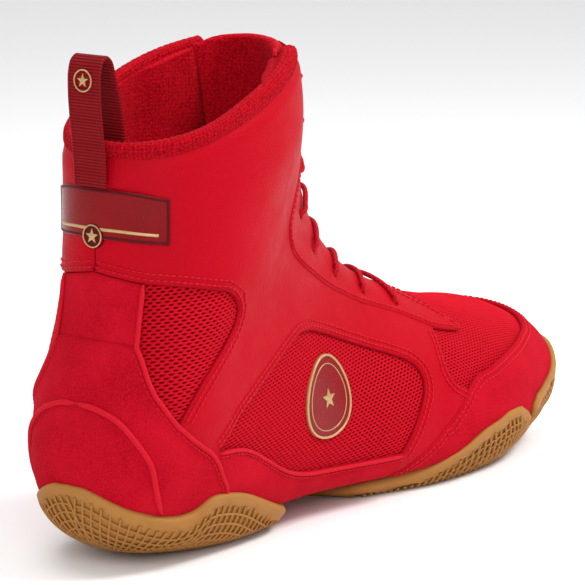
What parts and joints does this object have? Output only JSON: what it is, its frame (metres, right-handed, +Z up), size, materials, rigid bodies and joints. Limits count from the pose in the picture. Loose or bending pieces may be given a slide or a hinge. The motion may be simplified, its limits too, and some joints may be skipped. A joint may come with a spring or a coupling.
{
  "type": "boxing boot",
  "caption": "High soft boxing boot for the right foot with a leather collar saddle, mesh windows, suede heel and toe, crossed lacing, a pull loop and split gum rubber soles.",
  "frame": {"origin": "on the ground, under the middle of the heel pod, in the boot's middle plane", "axes": "+X to the toe, +Z up, -Y to the outer (lateral) side of the right boot; the origin is a point of the flat ground face of the heel pod"},
  "size_m": [0.3003, 0.1034, 0.1917],
  "materials": {
    "outsole_gum": "matte gum rubber, moulded scale tread",
    "red_leather": "smooth semi-gloss full-grain leather",
    "red_suede": "napped microfibre suede",
    "red_mesh": "open spacer mesh",
    "red_lining": "brushed knitted lining",
    "padding_foam": "soft open-cell foam",
    "board": "pressed fibre board",
    "dark_red_trim": "moulded film with a glossy face",
    "lace_cord": "round braided polyester cord",
    "red_webbing": "ribbed woven webbing"
  },
  "bodies": {
    "boot": {"heel_outsole_pod": "outsole_gum", "forefoot_outsole_pod": "outsole_gum", "arch_panel": "red_suede", "lasting_board": "board", "midsole_wedge": "padding_foam", "insole": "red_lining", "collar_saddle_leather_lateral": "red_leather", "collar_saddle_leather_medial": "red_leather", "eyestay_leather_lateral": "red_leather", "eyestay_leather_medial": "red_leather", "throat_bridge_leather": "red_leather", "quarter_mesh_window_lateral": "red_mesh", "quarter_mesh_window_medial": "red_mesh", "ankle_mesh_window_lateral": "red_mesh", "ankle_mesh_window_medial": "red_mesh", "foxing_suede_lateral": "red_suede", "foxing_suede_medial": "red_suede", "toe_guard_suede": "red_suede", "vamp_mesh": "red_mesh", "backstay_suede": "red_suede", "heel_overlay_suede": "red_suede", "rear_patch": "dark_red_trim", "side_badge": "dark_red_trim", "heel_counter": "board", "toe_puff": "board", "vamp_lining": "red_lining", "quarter_lining_lateral": "red_lining", "quarter_lining_medial": "red_lining", "heel_lining": "red_lining", "collar_padding": "padding_foam", "collar_roll": "red_lining", "tongue_face": "red_leather", "tongue_padding": "padding_foam", "tongue_lining": "red_lining", "lace": "lace_cord", "lace_tip_lateral": "dark_red_trim", "lace_tip_medial": "dark_red_trim", "pull_loop_outer_leg": "red_webbing", "pull_loop_inner_leg": "red_webbing"},
    "pull_loop": {"pull_loop": "red_webbing"}
  },
  "joints": [
    {"name": "pull_loop_fold", "type": "hinge", "parent": "boot", "child": "pull_loop", "pos_m": [-0.03395, -0.001, 0.1614], "axis": [0, -1, 0], "range_deg": [0, 60]}
  ]
}
